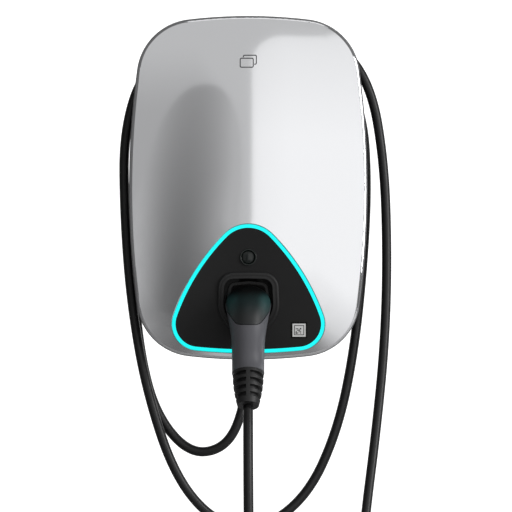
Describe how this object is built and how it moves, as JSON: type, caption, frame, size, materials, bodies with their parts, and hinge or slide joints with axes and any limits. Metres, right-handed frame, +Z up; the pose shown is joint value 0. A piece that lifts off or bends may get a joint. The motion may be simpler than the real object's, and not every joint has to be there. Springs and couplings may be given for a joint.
{
  "type": "wall charging unit for electric cars",
  "caption": "Wall-mounted car charging unit: domed cover, lit triangular panel with a push button and a holstered connector, and a black cable wound over its body.",
  "frame": {"origin": "on the wall, at the centre of the wall bracket's hole pattern", "axes": "+Z up, +X to the right as seen from the front, the front faces -Y"},
  "size_m": [0.3492, 0.2325, 0.8316],
  "materials": {
    "cover_silver": "gloss",
    "housing_black": "matt",
    "panel_black": "matt",
    "button_black": "gloss",
    "grip_grey": "satin",
    "cap_grey": "satin",
    "cable_black": "satin",
    "rubber_black": "matt",
    "light_cyan": "satin, lit from behind",
    "bracket_steel": "satin",
    "screw_steel": "satin",
    "frame_grey": "matt",
    "circuit_green": "satin",
    "component_black": "matt",
    "terminal_grey": "matt",
    "lamp_white": "satin",
    "label_white": "matt",
    "ink_grey": "matt",
    "contact_metal": "satin",
    "sensor_blue": "satin"
  },
  "bodies": {
    "housing": {"wall_bracket": "bracket_steel", "rear_housing": "housing_black", "back_plate": "housing_black", "bracket_screws": "screw_steel", "housing_seal": "rubber_black", "inner_frame": "frame_grey", "front_cover": "cover_silver", "cover_screws": "screw_steel", "card_symbol": "ink_grey", "reader_posts": "frame_grey", "reader_board": "circuit_green", "light_ring": "light_cyan", "ring_board": "circuit_green", "ring_leds": "lamp_white", "panel_carrier": "frame_grey", "front_panel": "panel_black", "button_bezel": "button_black", "button_switch": "component_black", "holster_cup": "panel_black", "holster_bezel": "panel_black", "data_label": "label_white", "main_board": "circuit_green", "board_screws": "screw_steel", "power_relays": "component_black", "power_supply": "component_black", "control_module": "terminal_grey", "terminal_block": "terminal_grey", "current_sensor": "sensor_blue", "outlet_gland_body": "housing_black", "outlet_gland_nut": "housing_black", "outlet_lock_nut": "housing_black", "supply_gland_body": "housing_black", "supply_gland_nut": "housing_black", "supply_lock_nut": "housing_black", "strain_relief": "rubber_black", "charging_cable": "cable_black"},
    "button": {"push_button": "button_black"},
    "connector": {"nose_sleeve": "cap_grey", "contact_carrier": "component_black", "contact_sleeves": "contact_metal", "grip_front": "grip_grey", "grip_rear": "grip_grey", "head_cap": "cap_grey", "cable_clamp": "component_black", "cable_boot": "rubber_black", "cable_tail": "cable_black"}
  },
  "joints": [
    {"name": "button_press", "type": "slide", "parent": "housing", "child": "button", "axis": [0, 1, 0], "range_m": [0, 0.0012], "stiffness_N_per_m": 600},
    {"name": "connector_pull", "type": "slide", "parent": "housing", "child": "connector", "axis": [0, -1, 0], "range_m": [0, 0.095]}
  ]
}
